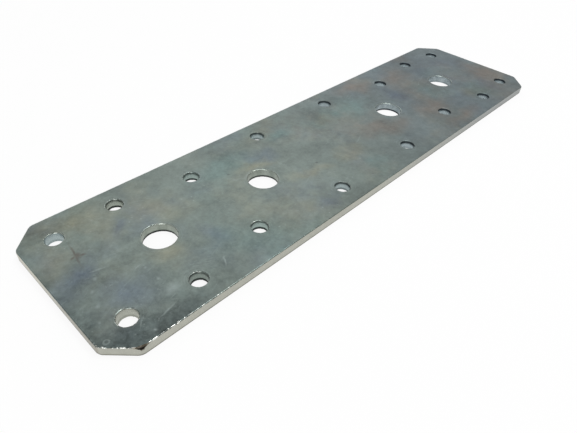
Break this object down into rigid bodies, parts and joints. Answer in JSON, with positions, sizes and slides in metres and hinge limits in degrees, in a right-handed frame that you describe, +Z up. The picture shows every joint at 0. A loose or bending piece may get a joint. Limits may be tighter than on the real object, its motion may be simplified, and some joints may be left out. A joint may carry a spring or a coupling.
{
  "type": "flat connector plate",
  "caption": "Straight flat steel plate with cut corners, bolt holes along its centre line and zigzag rows of nail holes, for joining timbers end to end or face to face.",
  "frame": {"origin": "middle of the underside", "axes": "+X along the plate, +Y across it, +Z up through the sheet, from the underside to the punched face"},
  "size_m": [0.21, 0.055, 0.003],
  "materials": {
    "zinc_plated_steel": "zinc plated with a faint blue and olive passivation tint, satin, lightly scuffed"
  },
  "bodies": {
    "root": {"plate": "zinc_plated_steel"}
  },
  "joints": []
}
